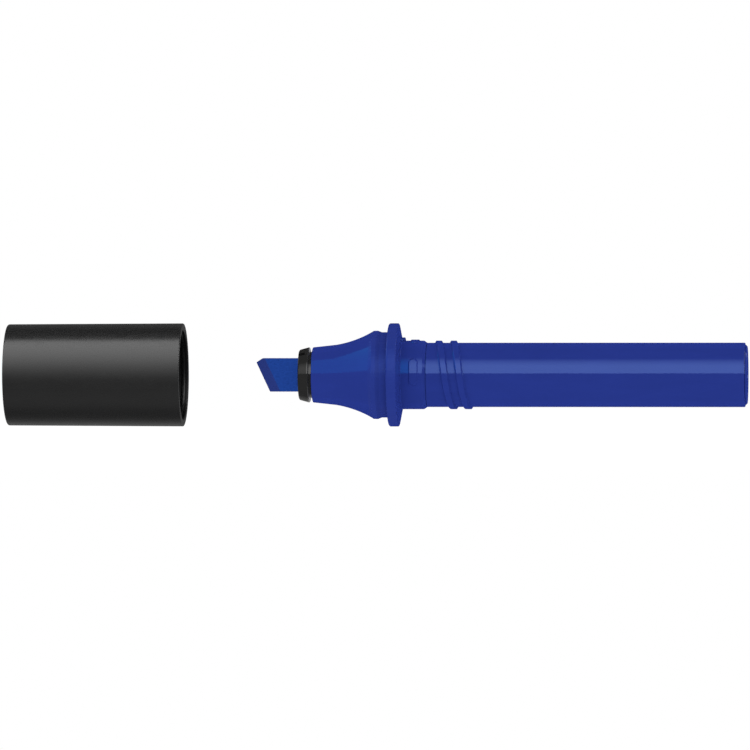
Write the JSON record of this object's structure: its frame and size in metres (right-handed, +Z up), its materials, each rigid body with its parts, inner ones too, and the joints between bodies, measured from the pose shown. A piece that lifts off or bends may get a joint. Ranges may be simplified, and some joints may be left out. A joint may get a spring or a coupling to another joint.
{
  "type": "whiteboard marker",
  "caption": "Slim whiteboard marker with a slanted chisel nib, snap bead, flange and quick-thread ribs, and a push-on cap that slides off along its axis.",
  "frame": {"origin": "under the middle of the whole set (marker and pulled-off cap), on the surface that the flange and the cap rest on", "axes": "+X along the marker from the nib towards its closed rear end, +Z up, -Y the side that shows the nib's broad face"},
  "size_m": [0.1228, 0.017, 0.017],
  "materials": {
    "cap_plastic": "satin black moulded plastic",
    "seal_plastic": "soft grey moulded plastic",
    "nib_felt": "felt soaked with blue ink",
    "holder_plastic": "semi-gloss black moulded plastic",
    "blue_plastic": "gloss blue moulded plastic",
    "reservoir_fibre": "bonded fibre soaked with blue ink",
    "film_plastic": "thin clear film over inked fibre"
  },
  "bodies": {
    "marker": {"front_section": "blue_plastic", "barrel": "blue_plastic", "nib": "nib_felt", "nib_holder": "holder_plastic", "rear_plug": "blue_plastic", "ink_reservoir": "reservoir_fibre", "reservoir_film": "film_plastic"},
    "cap": {"cap_shell": "cap_plastic", "cap_inner_seal": "seal_plastic"}
  },
  "joints": [
    {"name": "cap_slide", "type": "slide", "parent": "marker", "child": "cap", "axis": [1, 0, 0], "range_m": [0, 0.03405]}
  ]
}
